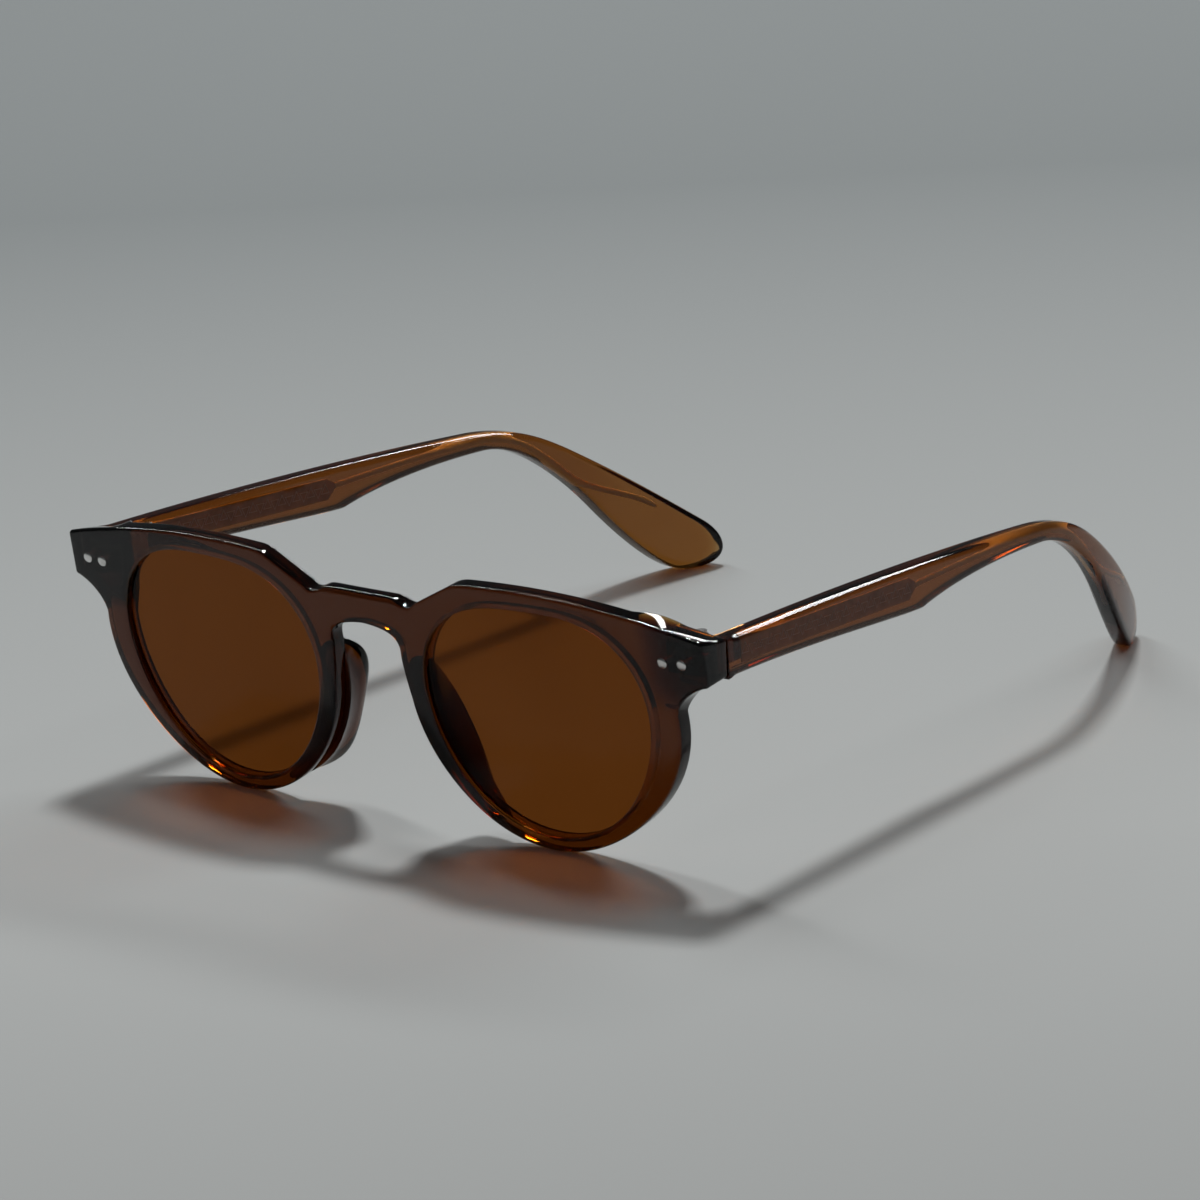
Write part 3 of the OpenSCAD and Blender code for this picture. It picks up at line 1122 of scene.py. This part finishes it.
@dataclass
class Front:
    """The acetate front with its lenses, rivets and nose pads."""

    bench: Bench
    sizes: FrontSizes
    edge_r: float = 0.6
    crown_r: float = 0.65
    crown_u: tuple = (6.5, 9.5)
    crown_v: tuple = (41.5, 43.3)
    eye_edge_r: float = 0.35
    lens_edge_r: float = 0.18
    groove_play: float = 0.02
    lens_play: float = 0.03
    end_swell: tuple = (15.5, 8.5)
    end_rise: float = 6.5
    top_fall: float = 10.0
    top_fall_from: tuple = (15.0, 8.0)
    butt_play: float = 0.03
    pad_l: float = 28.5
    pad_out: float = 6.1
    pad_u: float = 11.3
    pad_root: float = 1.9
    pad_t: float = 4.9
    pad_v: float = 18.0
    pad_frontal: float = 22.0
    pad_splay: float = 10.0
    pad_rings: int = 44
    pad_around: int = 36
    pad_sunk: float = 0.35
    pad_round: float = 0.62
    pad_dome: float = 2.6
    pad_blunt: float = 5.0
    pad_least: float = 0.02
    pad_foot: float = 0.3
    pad_fillet: float = 0.25
    pad_fillet_h: float = 2.2
    rivet_pitch: float = 3.8
    rivet_edge: float = 4.5
    rivet_head_r: float = 1.0
    rivet_dome: float = 0.36
    rivet_r: float = 0.6
    rivet_l: float = 5.4
    rivet_drop: float = 0.1

    def depth(self, flat: Array) -> Array:
        """Gives the front's thickness: thin rims, and end pieces as deep as the joint.

        Args:
            flat: (across, up the front) of each point.

        Returns:
            The thickness at each point.
        """
        s = self.sizes
        u, v = np.abs(flat[:, 0]), flat[:, 1]
        turn = math.radians(self.bench.lean)
        w = (s.butt_y - self.butt_play + v * math.sin(turn)) / math.cos(turn)
        r = self.bench.curve_r
        full = r - np.sqrt((r - w) ** 2 + u**2)
        across = step_up(u, s.end_u - self.end_swell[0], s.end_u - self.end_swell[1])
        upward = step_up(v, s.end_bottom - self.end_rise, s.end_bottom)
        return s.rim_t + (full - s.rim_t) * across * upward

    def place(self, flat: Array, deep: Array) -> Array:
        """Places points, with the end pieces' tops falling back to meet the temples.

        Args:
            flat: (across, up the front) of each point.
            deep: Depth behind the face.

        Returns:
            Points in metres.
        """
        s = self.sizes
        u, v = np.abs(flat[:, 0]), flat[:, 1]
        across = step_up(u, s.end_u - self.top_fall_from[0], s.end_u - self.top_fall_from[1])
        share = across * np.clip((v - s.end_bottom) / s.end_h, 0, 1.4)
        fall = math.tan(math.radians(self.bench.lean)) + math.tan(math.radians(self.top_fall))
        behind = np.maximum(deep - self.edge_r, 0)
        lowered = np.column_stack([flat[:, 0], v - share * fall * behind])
        return self.bench.front_point(lowered, deep)

    def build_front(self, finish: bpy.types.Material, slot: str) -> None:
        """Makes the rims, bridge and end pieces as one solid.

        Args:
            finish: The acetate, given here as its darker copy with painted shade.
            slot: Its slot.
        """
        s = self.sizes
        outer = s.outline()
        beside = step_up(np.abs(outer[:, 0]), *self.crown_u)
        crown = step_up(outer[:, 1], *self.crown_v) * (1 - beside)
        radius = self.edge_r + self.crown_r * crown
        near = s.rim_t / 2 - s.lens_t / 2 - self.groove_play
        far = s.rim_t / 2 + s.lens_t / 2 + self.groove_play
        groove = (near, far, s.groove_d)
        eye = s.eye_loop(0)
        mirrored = (eye * np.array([-1, 1]))[::-1]
        walls = [Wall(outer, radius)]
        walls += [Wall(loop, self.eye_edge_r, 4, groove) for loop in (eye, mirrored)]
        plate = Plate(walls, self.place, self.depth)
        self.bench.put("front", plate.mesh("front"), finish, slot, "front", ["frame_front"])

    def lens_place(self, side: Side) -> Place:
        """Makes the rule that seats a lens in the middle of its rim.

        Args:
            side: Which lens.

        Returns:
            A function of flat points and depths.
        """
        start = self.sizes.rim_t / 2 - self.sizes.lens_t / 2

        def seat(flat: Array, deep: Array) -> Array:
            """Returns the lens's points in metres."""
            return self.bench.front_point(flat, deep + start, side.value)

        return seat

    def build_lenses(self, finish: bpy.types.Material, slot: str) -> None:
        """Makes both lenses, each seated in its groove.

        Args:
            finish: The tinted lens.
            slot: Its slot.
        """
        s = self.sizes
        loop = s.eye_loop(s.groove_d - self.lens_play)[::-1]
        wall = Wall(loop, self.lens_edge_r, 3)
        for side in Side:
            plate = Plate([wall], self.lens_place(side), even(s.lens_t), 1.6)
            name = f"lens_{side.word}"
            mesh = plate.mesh(name)
            self.bench.put(f"{name}_tinted", mesh, finish, slot, "front", [name])

    def build_pads(self, finish: bpy.types.Material, slot: str) -> None:
        """Makes the moulded nose pads that swell out behind the rims.

        Args:
            finish: The acetate, given here as its darker copy with painted shade.
            slot: Its slot.
        """
        for side in Side:
            name = f"nose_pad_{side.word}"
            mesh = self._pad_mesh(name, side.value)
            self.bench.put(f"{name}_moulded", mesh, finish, slot, "front", [name])

    def _pad_mesh(self, name: str, side: int) -> bpy.types.Mesh:
        """Lofts one pad.

        Args:
            name: The mesh's name.
            side: 1 for the left pad, -1 for the right one.

        Returns:
            The closed mesh.
        """
        s = self.sizes
        along, around, power = self.pad_rings, self.pad_around, self.pad_round
        rim = np.array([s.eye_point(a, s.rim_w(a)) for a in range(250, 178, -2)])
        rim = np.vstack([rim, [s.bridge_w / 2 - s.rim_throat, s.end_bottom]])
        lean_in = math.tan(math.radians(self.pad_frontal))
        lean_out = math.tan(math.radians(self.pad_splay))
        local = []
        for i in range(along + 1):
            t = -math.cos(math.pi * i / along)
            v = self.pad_v + self.pad_l / 2 * t
            root = np.interp(v, rim[:, 1], rim[:, 0]) + self.pad_root
            crest = self.pad_u - (v - self.pad_v) * lean_in
            tall = self.pad_sunk + self.pad_out * max(1 - abs(t) ** self.pad_dome, 0) ** power
            wide = self.pad_t / 2 * max(1 - abs(t) ** self.pad_blunt, self.pad_least) ** 0.5
            for k in range(around):
                a = 2 * math.pi * k / around
                share = signed_power(math.cos(a), power)
                high = tall * max(share, 0) + self.pad_foot * min(share, 0)
                swell = 1 + self.pad_fillet * (1 - min(high / self.pad_fillet_h, 1)) ** 2
                x = wide * swell * signed_power(math.sin(a), power)
                lift = float(step_up(np.array(max(high, 0)), self.pad_foot, self.pad_out))
                middle = root + (crest - root) * lift + lean_out * max(high, 0)
                local.append((middle + x, s.rim_t - self.pad_sunk + high, v))
        local = np.array(local)
        spots = self.bench.lean_back(local[:, 0] * side, local[:, 1], local[:, 2])
        return finish_mesh(name, spots, loft(along + 1, around))

    def build_rivets(self, finish: bpy.types.Material, slot: str) -> None:
        """Grows the four rivets, each a domed head on a shank.

        Args:
            finish: The steel.
            slot: Its slot.
        """
        s = self.sizes
        v = s.end_top - s.end_h / 2 - self.rivet_drop
        us = [s.end_u - self.rivet_edge, s.end_u - self.rivet_edge - self.rivet_pitch]
        flat = np.array([(k * u, v) for u in us for k in (1, -1)])
        outer = self.bench.front_point(flat, np.zeros(4))
        inner = self.bench.front_point(flat, np.ones(4))
        seed = bpy.data.meshes.new("rivet places")
        seed.from_pydata([tuple(p) for p in outer], [], [])
        facing = seed.attributes.new("facing", "FLOAT_VECTOR", "POINT")
        away = outer - inner
        facing.data.foreach_set("vector", away.astype(np.float32).ravel())
        sizes = {
            "Head radius": self.rivet_head_r * MM,
            "Dome share": self.rivet_dome / self.rivet_head_r,
            "Shank radius": self.rivet_r * MM,
            "Shank length": self.rivet_l * MM,
        }
        grow = GrowTree("grow rivets", sizes)
        values = {"Segments": 40, "Rings": 20, "Radius": grow.size("Head radius")}
        ball = grow.add("GeometryNodeMeshUVSphere", values)
        head = grow.change(ball, "Scale", grow.vector(1.0, 1.0, grow.size("Dome share")))
        length = grow.size("Shank length")
        values = {"Vertices": 24, "Radius": grow.size("Shank radius"), "Depth": length}
        shank = grow.add("GeometryNodeMeshCylinder", values)
        half = grow.add("ShaderNodeMath", {0: length, 1: -0.5}, operation="MULTIPLY")
        sunk = grow.change(shank, "Translation", grow.vector(z=half))
        both = grow.add("GeometryNodeJoinGeometry", {0: [sunk, head]})
        named = grow.add(
            "GeometryNodeInputNamedAttribute", {"Name": "facing"}, data_type="FLOAT_VECTOR"
        )
        turn = grow.add("FunctionNodeAlignRotationToVector", {"Vector": named}, axis="Z")
        points = grow.add("GeometryNodeMeshToPoints", {0: grow.source})
        values = {"Points": points, "Instance": both, "Rotation": turn}
        placed = grow.add("GeometryNodeInstanceOnPoints", values)
        mesh = grow.grow("rivets", seed, placed, finish)
        smooth(mesh)
        nodes = [f"rivet_{row}_{side.word}" for row in ("outer", "inner") for side in Side]
        self.bench.put("rivets", mesh, finish, slot, "front", nodes)


# ----------------------------------------------------------------------- temples


@dataclass
class TempleSizes:
    """A temple's own sizes, and its metal core's."""

    outer_x: float = 72.0
    joint_y: float = 6.2
    joint_top: float = 42.0
    joint_h: float = 7.0
    length: float = 94.0
    drop_l: float = 50.4
    thick: float = 4.4
    waist_h: float = 3.6
    slope: float = 3.6
    toe_in: float = 3.3
    drop_curve_r: float = 94.0
    plate_l: float = 52.0
    plate_h: float = 4.0
    plate_t: float = 0.55
    plate_in: float = 5.0
    plate_taper: float = 2.0
    wire_h: float = 1.1
    wire_t: float = 0.8
    wire_drop: float = 2.9

    @property
    def bend_y(self) -> float:
        """Returns the depth at which the temple starts to bend down."""
        return self.joint_y + self.length

    @property
    def bend_top(self) -> float:
        """Returns the height of the temple's top at its bend."""
        return self.joint_top - self.length * math.tan(math.radians(self.slope))

    @property
    def tip_y(self) -> float:
        """Returns the depth of the temple's end."""
        return self.bend_y + self.drop_l

    @property
    def middle(self) -> float:
        """Returns the height of the temple's middle at its joint."""
        return self.joint_top - self.joint_h / 2

    def plan_x(self, y: Array) -> Array:
        """Returns the x of the outer face at each depth."""
        bent = np.maximum(y - self.bend_y, 0) ** 2 / (2 * self.drop_curve_r)
        return self.outer_x - (y - self.joint_y) * math.tan(math.radians(self.toe_in)) - bent

    def outline(self) -> Array:
        """Returns the side outline as (y, z) points, anticlockwise."""
        top = (self.joint_y, self.joint_top)
        bend_a = (self.bend_y, self.bend_top)
        bend_b = (self.bend_y + self.drop_l * 0.45, self.bend_top - 8.4)
        tip_a = (self.tip_y - 3.4, 9.2)
        tip_b = (self.tip_y - 5, 0.0)
        tip_c = (self.tip_y - 7, 0.0)
        heel = (self.tip_y - 23.6, self.bend_top - 20.1)
        waist = (self.bend_y + 2, self.bend_top - self.waist_h)
        step = (self.joint_y + self.length * 0.62, self.joint_top - 11)
        low = (self.joint_y, self.joint_top - self.joint_h)

        loop = [top]
        loop += bezier(top, off(top, 34, -0.9), off(bend_a, -25, 2.6), bend_a, 60)
        loop += bezier(bend_a, off(bend_a, 10, -1.1), off(bend_b, -7, 4.6), bend_b, 24)
        loop += bezier(bend_b, off(bend_b, 10, -6.6), off(tip_a, -6.5, 5.5), tip_a, 20)
        loop += bezier(tip_a, off(tip_a, 4.6, -3.9), off(tip_b, 6, 0.2), tip_b, 24)
        loop += [tip_c]
        loop += bezier(tip_c, off(tip_c, -4, 0.8), off(heel, 5.5, -7), heel, 20)
        loop += bezier(heel, off(heel, -6.5, 8), off(waist, 9, -0.8), waist, 24)
        loop += bezier(waist, off(waist, -10, 0.7), off(step, 12, 2.4), step, 24)
        loop += bezier(step, off(step, -8, 0.2), off(low, 24, -0.5), low, 40)
        return anticlockwise(refine(loop, 1.0))

    def wire_path(self) -> Array:
        """Returns the wire's centre line as (y, z) points."""
        wire_a = (self.joint_y + self.plate_in + self.plate_l, self.middle - self.wire_drop)
        wire_b = (self.bend_y + 2, self.bend_top - self.waist_h / 2)
        wire_c = (self.bend_y + self.drop_l * 0.43, self.bend_top - 12.6)
        wire_d = (self.tip_y - 11, 13.2)
        points = [wire_a]
        points += bezier(wire_a, off(wire_a, 14, 0.1), off(wire_b, -12, 1), wire_b, 24)
        points += bezier(wire_b, off(wire_b, 9, -0.9), off(wire_c, -6, 6), wire_c, 20)
        points += bezier(wire_c, off(wire_c, 5, -5.2), off(wire_d, -4, 4), wire_d, 12)
        return np.array(points)


@dataclass
class Temples:
    """Both acetate temples with the metal cores inside them."""

    bench: Bench
    sizes: TempleSizes
    edge_r: float = 1.15
    joint_edge_r: float = 0.22
    joint_ease: tuple = (0.2, 2.5)
    plate_edge_r: float = 0.12
    teeth: int = 27
    tooth_r: float = 1.15
    beads: int = 64
    bead_r: float = 0.26
    thread_r: float = 0.17
    rail_in: float = 0.25
    relief: float = 0.3
    rail_ends: tuple = (1.2, 0.6)
    rail_points: int = 60
    wire_end: float = 0.5

    def place(self, side: Side, under: float) -> Place:
        """Makes the rule that places points of a layer of the temple.

        Args:
            side: Which temple.
            under: The layer's depth below the outer face.

        Returns:
            A function of (y, z) points and depths.
        """

        def put_down(flat: Array, deep: Array) -> Array:
            """Returns the layer's points in metres."""
            x = self.sizes.plan_x(flat[:, 0]) - deep - under
            return self.bench.to_row(np.column_stack([x * side.value, flat[:, 0], flat[:, 1]]))

        return put_down

    def build_acetate(self, side: Side, finish: bpy.types.Material, slot: str) -> None:
        """Makes one temple's body.

        Args:
            side: Which temple.
            finish: The acetate.
            slot: Its slot.
        """
        s = self.sizes
        loop = s.outline()
        share = step_up(loop[:, 0], *(s.joint_y + reach for reach in self.joint_ease))
        radius = self.joint_edge_r + (self.edge_r - self.joint_edge_r) * share
        plate = Plate([Wall(loop, radius)], self.place(side, 0), even(s.thick))
        name = f"temple_{side.word}"
        body = f"{side.word}_temple"
        self.bench.put(f"{name}_body", plate.mesh(name), finish, slot, body, [name])

    def build_core(
        self, side: Side, finish: bpy.types.Material, bright: bpy.types.Material, slot: str
    ) -> None:
        """Makes one core: plate, wire, and the tracery grown along the plate.

        Args:
            side: Which temple.
            finish: The plate's metal.
            bright: The brighter metal of the wire and the tracery.
            slot: Its slot.
        """
        s = self.sizes
        under = (s.thick - s.plate_t) / 2
        fall = math.tan(math.radians(s.slope))
        start = s.joint_y + s.plate_in
        end = start + s.plate_l - s.plate_taper
        low = s.middle - s.plate_h / 2
        corners = [
            (start, low),
            (end, low - (end - start) * fall),
            (end + s.plate_taper, s.middle - s.wire_drop - s.wire_h / 2),
            (end + s.plate_taper, s.middle - s.wire_drop + s.wire_h / 2),
            (end, low + s.plate_h - (end - start) * fall),
            (start, low + s.plate_h),
        ]
        loop = anticlockwise(refine(corners, 1.2))
        wall = Wall(loop, self.plate_edge_r, 2)
        plate = Plate([wall], self.place(side, under), even(s.plate_t), 1.4).mesh("core plate")
        path = s.wire_path()
        half_t = np.full(len(path), s.wire_t / 2) * MM
        half_h = np.full(len(path), s.wire_h / 2) * MM
        middle = self.place(side, s.thick / 2)
        half_t[-1] *= self.wire_end
        half_h[-1] *= self.wire_end
        wire = tube("core wire", middle(path, np.zeros(len(path))), half_t, half_h)
        first = np.array([start + self.rail_ends[0], s.middle])
        last = np.array([end - self.rail_ends[1], s.middle - (end - start) * fall])
        steps = np.linspace(0, 1, self.rail_points)[:, None]
        line = middle(first + (last - first) * steps, np.zeros(self.rail_points))
        body = f"{side.word}_temple"
        name = f"temple_core_{side.word}"
        self.bench.put(f"{name}_plate", plate, finish, slot, body, [name])
        mesh = join_meshes(f"tracery {side.word}", [wire, self._tracery(line, bright)])
        self.bench.put(f"{name}_tracery", mesh, bright, slot, body)

    def _tracery(self, line: Array, finish: bpy.types.Material) -> bpy.types.Mesh:
        """Grows rails, alternating triangles and a beaded edge along the plate.

        Args:
            line: The plate's middle line, in metres.
            finish: The tracery's metal.

        Returns:
            The grown mesh.
        """
        s = self.sizes
        seed = bpy.data.meshes.new("tracery line")
        edges = [(k, k + 1) for k in range(len(line) - 1)]
        seed.from_pydata([tuple(p) for p in line], edges, [])
        sizes = {
            "Teeth": float(self.teeth),
            "Beads": float(self.beads),
            "Tooth radius": self.tooth_r * MM,
            "Wire radius": self.thread_r * MM,
            "Rail offset": (s.plate_h / 2 - self.rail_in) * MM,
            "Bead radius": self.bead_r * MM,
            "Relief": (s.plate_t + self.relief) / (2 * self.thread_r),
        }
        grow = GrowTree("grow tracery", sizes)
        curve = grow.add("GeometryNodeMeshToCurve", {0: grow.source})
        toothed = grow.split(curve, "Teeth")
        tangent = grow.add("GeometryNodeInputTangent")
        along = grow.add("FunctionNodeAlignRotationToVector", {"Vector": tangent}, axis="X")
        index = grow.add("GeometryNodeInputIndex")
        odd = grow.add("ShaderNodeMath", {0: index, 1: 2.0}, operation="MODULO")
        half_turn = grow.add("ShaderNodeMath", {0: odd, 1: math.pi}, operation="MULTIPLY")
        turned = grow.add("FunctionNodeEulerToRotation", {0: grow.vector(half_turn)})
        values = {0: along, 1: turned}
        facing = grow.add("FunctionNodeRotateRotation", values, rotation_space="LOCAL")
        ring = grow.ring(3, "Tooth radius")
        thread = grow.ring(6, "Wire radius")
        tooth = grow.add("GeometryNodeCurveToMesh", {0: ring, 1: thread})
        thick = grow.change(tooth, "Scale", grow.vector(1.0, 1.0, grow.size("Relief")))
        upright = grow.change(thick, "Rotation", (math.pi / 2, math.pi / 6, 0.0))
        values = {"Points": toothed, "Instance": upright, "Rotation": facing}
        teeth = grow.add("GeometryNodeInstanceOnPoints", values)
        rails = []
        for sign in (1.0, -1.0):
            values = {0: grow.size("Rail offset"), 1: sign}
            lift = grow.add("ShaderNodeMath", values, operation="MULTIPLY")
            rail = grow.change(curve, "Translation", grow.vector(z=lift))
            values = {0: rail, 1: thread, "Fill Caps": True}
            rails.append(grow.add("GeometryNodeCurveToMesh", values))
        beaded = grow.split(rail, "Beads")
        values = {"Radius": grow.size("Bead radius"), "Subdivisions": 1}
        bead = grow.add("GeometryNodeMeshIcoSphere", values)
        values = {"Points": beaded, "Instance": bead}
        beads = grow.add("GeometryNodeInstanceOnPoints", values)
        joined = grow.add("GeometryNodeJoinGeometry", {0: [teeth, *rails, beads]})
        return grow.grow("tracery", seed, joined, finish)


def join_meshes(name: str, meshes: Sequence[bpy.types.Mesh]) -> bpy.types.Mesh:
    """Puts several meshes into one.

    Args:
        name: The new mesh's name.
        meshes: The meshes to join.

    Returns:
        The joined mesh, smooth with sharp edges.
    """
    shape = bmesh.new()
    for mesh in meshes:
        shape.from_mesh(mesh)
    joined = bpy.data.meshes.new(name)
    shape.to_mesh(joined)
    shape.free()
    smooth(joined)
    return joined


# ------------------------------------------------------------------------ studio


@dataclass(frozen=True)
class Softbox:
    """A soft area light, aimed at the glasses."""

    name: str
    place: tuple
    size: tuple
    watts: float
    colour: tuple = (1.0, 1.0, 1.0)

    def hang(self, aim: Vector) -> None:
        """Hangs the light.

        Args:
            aim: The point that it faces.
        """
        data = bpy.data.lights.new(self.name, "AREA")
        data.shape = "RECTANGLE"
        data.size = self.size[0]
        data.size_y = self.size[1]
        data.energy = self.watts
        data.color = self.colour
        lamp = stand(self.name, data)
        lamp.location = self.place
        lamp.rotation_euler = (aim - Vector(self.place)).to_track_quat("-Z", "Y").to_euler()


@dataclass
class Studio:
    """The table, the soft lights and the camera."""

    camera_place: tuple = (0.923555, -1.098081, 0.452754)
    right: tuple = (0.772, 0.633, -0.062)
    up: tuple = (-0.137, 0.261, 0.956)
    lens: float = 251.1
    room: tuple = (0.62, 0.66, 0.68)
    room_level: float = 0.085
    aim: tuple = (0, 0, 0.02)
    table_r: float = 6.0
    table_corners: int = 64
    lights: tuple = (
        Softbox("key softbox", (-0.45, 0.64, 1.40), (0.21, 0.21), 20.5),
        Softbox("left strip", (-0.93, 0.27, 1.14), (0.14, 1.20), 8.0),
        Softbox("back strip", (-0.08, 1.19, 0.87), (1.20, 0.16), 8.5),
        Softbox("front fill", (0.5, -1.7, 1.0), (0.7, 0.7), 0.4, (0.94, 0.97, 1.0)),
    )

    def lay_table(self) -> None:
        """Lays the pale table under the glasses."""
        mesh = bpy.data.meshes.new("table")
        count = self.table_corners
        turns = [2 * math.pi * k / count for k in range(count)]
        rim = [(self.table_r * math.cos(a), self.table_r * math.sin(a), 0.0) for a in turns]
        mesh.from_pydata(rim, [], [tuple(range(count))])
        mesh.materials.append(TableTop().make())
        stand("table", mesh)

    def light(self) -> None:
        """Hangs the lights and sets the room's own soft light."""
        for box in self.lights:
            box.hang(Vector(self.aim))
        world = bpy.data.worlds.new("soft room")
        world.use_nodes = True
        back = world.node_tree.nodes["Background"]
        back.inputs["Color"].default_value = (*self.room, 1)
        back.inputs["Strength"].default_value = self.room_level
        bpy.context.scene.world = world
        bpy.context.scene.view_settings.view_transform = "Standard"

    def aim_camera(self) -> None:
        """Sets up the camera where the glasses are seen from."""
        data = bpy.data.cameras.new("camera")
        data.lens = self.lens
        data.sensor_width = 36
        data.clip_start = 0.05
        data.clip_end = 50
        camera = stand("camera", data)
        right = Vector(self.right).normalized()
        back = right.cross(Vector(self.up)).normalized()
        up = back.cross(right)
        turn = Matrix((right, up, back)).transposed()
        camera.matrix_world = Matrix.Translation(self.camera_place) @ turn.to_4x4()
        bpy.context.scene.camera = camera


# -------------------------------------------------------------------------- main


def main() -> None:
    """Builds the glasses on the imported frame."""
    logging.basicConfig(level=logging.INFO, format="%(message)s")
    temple_sizes = TempleSizes()
    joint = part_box("temple_left")[0].y / MM
    bench = Bench(shift=temple_sizes.joint_y - joint)

    acetate = Acetate()
    tint = LensTint()
    steel = Metal("hinge steel", (0.78, 0.77, 0.75), (0.60, 0.59, 0.57), "steel", 0.16)
    plate = Metal("core plate", (0.74, 0.56, 0.32), (0.60, 0.44, 0.24), "core_metal", 0.4, 0.15)
    gilt = Metal("core tracery", (1.0, 0.98, 0.88), (1.0, 0.94, 0.78), "core_metal", 0.36, 0.0)
    # Painted shade: the front and nose pads take a darker copy of the temples' own acetate. It
    # has a denser, less red absorption, which paints in the shade they stand in with their
    # shadow behind them.
    shaded_acetate = Acetate("tea brown acetate, front", soaked=(0.67, 0.47, 0.02), density=1800.0)
    acetate_made = acetate.make()
    shaded_acetate_made = shaded_acetate.make()
    steel_made = steel.make()
    plate_made = plate.make()
    gilt_made = gilt.make()

    front = Front(bench, FrontSizes())
    front.build_front(shaded_acetate_made, shaded_acetate.slot)
    front.build_lenses(tint.make(), tint.slot)
    front.build_pads(shaded_acetate_made, shaded_acetate.slot)
    front.build_rivets(steel_made, steel.slot)

    temples = Temples(bench, temple_sizes)
    for side in Side:
        temples.build_acetate(side, acetate_made, acetate.slot)
        temples.build_core(side, plate_made, gilt_made, gilt.slot)
        for part in ("front_hinge", "temple_hinge", "hinge_screw"):
            bench.dress(f"{part}_{side.word}", steel_made)

    studio = Studio()
    studio.lay_table()
    studio.light()
    studio.aim_camera()
    LOG.info("%d pieces made", len(bench.made))


if __name__ == "__main__":
    main()
